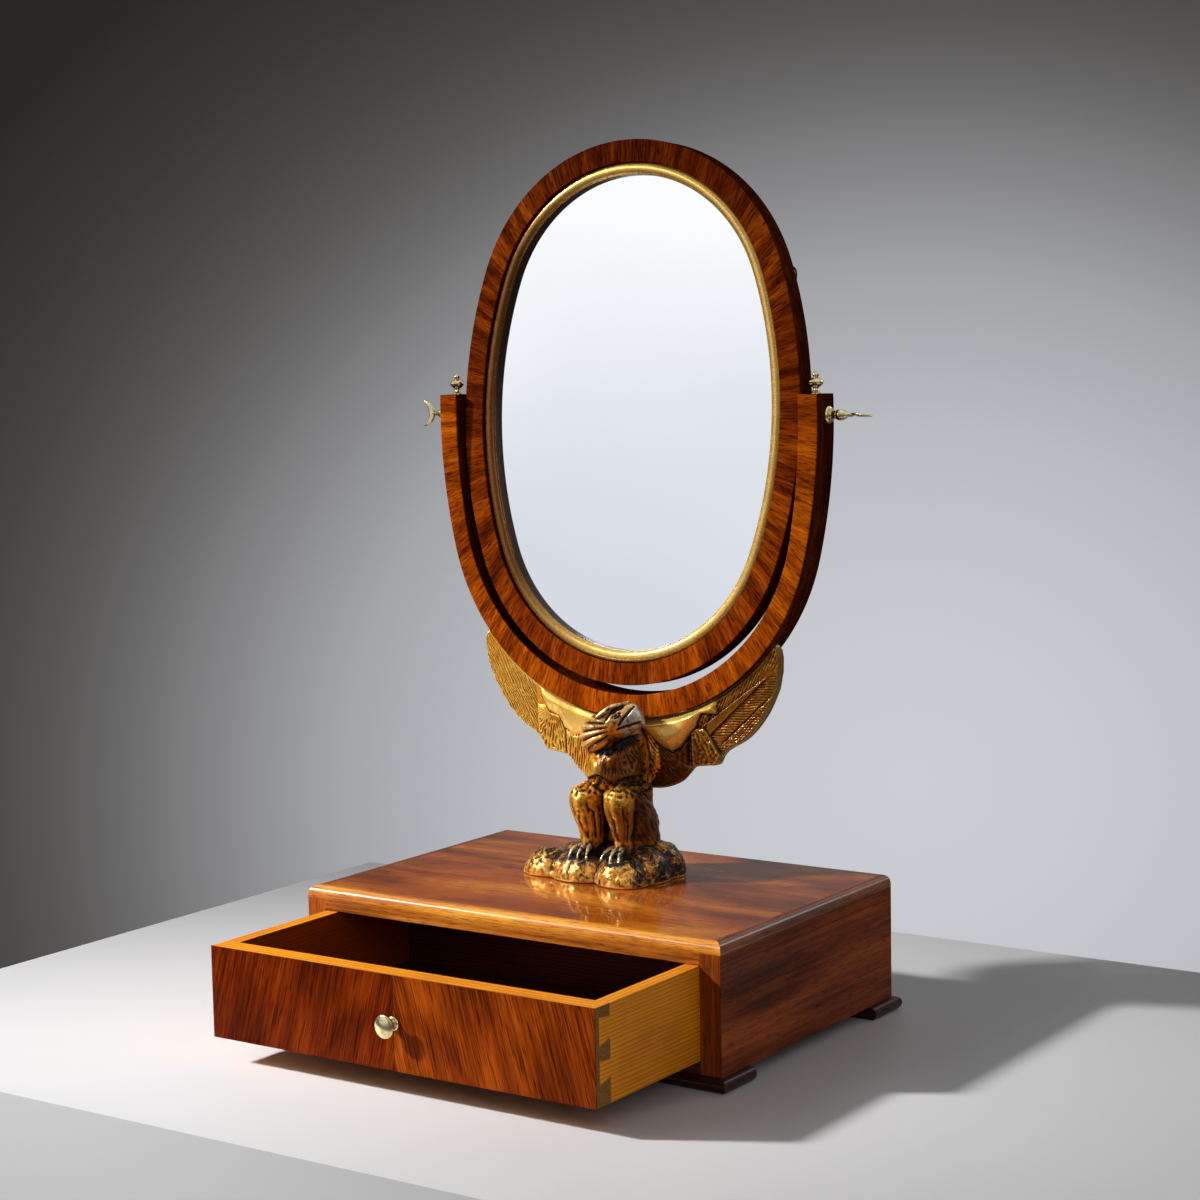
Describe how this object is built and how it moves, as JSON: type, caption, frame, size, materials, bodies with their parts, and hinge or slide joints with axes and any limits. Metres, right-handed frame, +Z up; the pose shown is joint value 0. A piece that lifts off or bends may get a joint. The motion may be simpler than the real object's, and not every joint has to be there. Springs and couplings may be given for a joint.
{
  "type": "table mirror",
  "caption": "Oval tilting mirror in a U-shaped yoke, borne on the wings of a carved gilt eagle above a low veneered case with a dovetailed drawer and pad feet.",
  "frame": {"origin": "on the table, under the middle of the case", "axes": "+X to the right of the case seen from its front, -Y the front where the drawer opens, +Z up"},
  "size_m": [0.4398, 0.4245, 0.7197],
  "materials": {
    "mahogany_veneer": "french polished",
    "mahogany": "polished",
    "dark_mahogany": "polished",
    "pine": "bare",
    "beech": "bare",
    "gilding": "gilt over bole",
    "brass": "polished",
    "iron": "plain",
    "looking_glass": "silvered glass"
  },
  "bodies": {
    "stand": {"case_back": "pine", "case_base": "pine", "case_side_left": "mahogany", "case_side_right": "mahogany", "case_top": "pine", "drawer_kicker_left": "pine", "drawer_kicker_right": "pine", "drawer_stops": "pine", "eagle": "gilding", "eagle_wing_left": "gilding", "eagle_wing_right": "gilding", "finial_left": "brass", "finial_right": "brass", "foot_back_left": "dark_mahogany", "foot_back_right": "dark_mahogany", "foot_front_left": "dark_mahogany", "foot_front_right": "dark_mahogany", "front_top_rail": "mahogany", "mount_screws": "iron", "nosing_front": "mahogany", "nosing_left": "mahogany", "nosing_right": "mahogany", "pivot_rosette_left": "brass", "pivot_rosette_right": "brass", "pivot_washer_left": "brass", "pivot_washer_right": "brass", "rear_top_rail": "pine", "top_veneer": "mahogany_veneer", "wing_dowels": "beech", "yoke": "mahogany", "yoke_dowel": "beech", "yoke_veneer": "mahogany_veneer"},
    "drawer": {"drawer_veneer_left": "mahogany_veneer", "drawer_veneer_right": "mahogany_veneer", "drawer_bottom": "pine", "drawer_back": "pine", "drawer_side_left": "pine", "drawer_side_right": "pine", "drawer_front": "pine", "drawer_knob": "brass", "knob_nut": "brass"},
    "mirror": {"mirror_veneer": "mahogany_veneer", "gilt_slip": "gilding", "mirror_glass": "looking_glass", "backboard": "pine", "pivot_plate_left": "brass", "pivot_plate_right": "brass", "plate_screws": "iron", "backboard_brads": "iron", "back_eye": "brass", "mirror_frame": "mahogany"},
    "left_thumb_screw": {"thumb_screw_left": "brass"},
    "right_thumb_screw": {"thumb_screw_right": "brass"}
  },
  "joints": [
    {"name": "drawer_slide", "type": "slide", "parent": "stand", "child": "drawer", "axis": [0, -1, 0], "range_m": [-0.137, 0.06]},
    {"name": "mirror_tilt", "type": "hinge", "parent": "stand", "child": "mirror", "pos_m": [0, 0.061, 0.4945], "axis": [1, 0, 0], "continuous": true},
    {"name": "left_screw_turn", "type": "hinge", "parent": "stand", "child": "left_thumb_screw", "pos_m": [0, 0.061, 0.4945], "axis": [-1, 0, 0], "continuous": true},
    {"name": "right_screw_turn", "type": "hinge", "parent": "stand", "child": "right_thumb_screw", "pos_m": [0, 0.061, 0.4945], "axis": [1, 0, 0], "continuous": true}
  ]
}
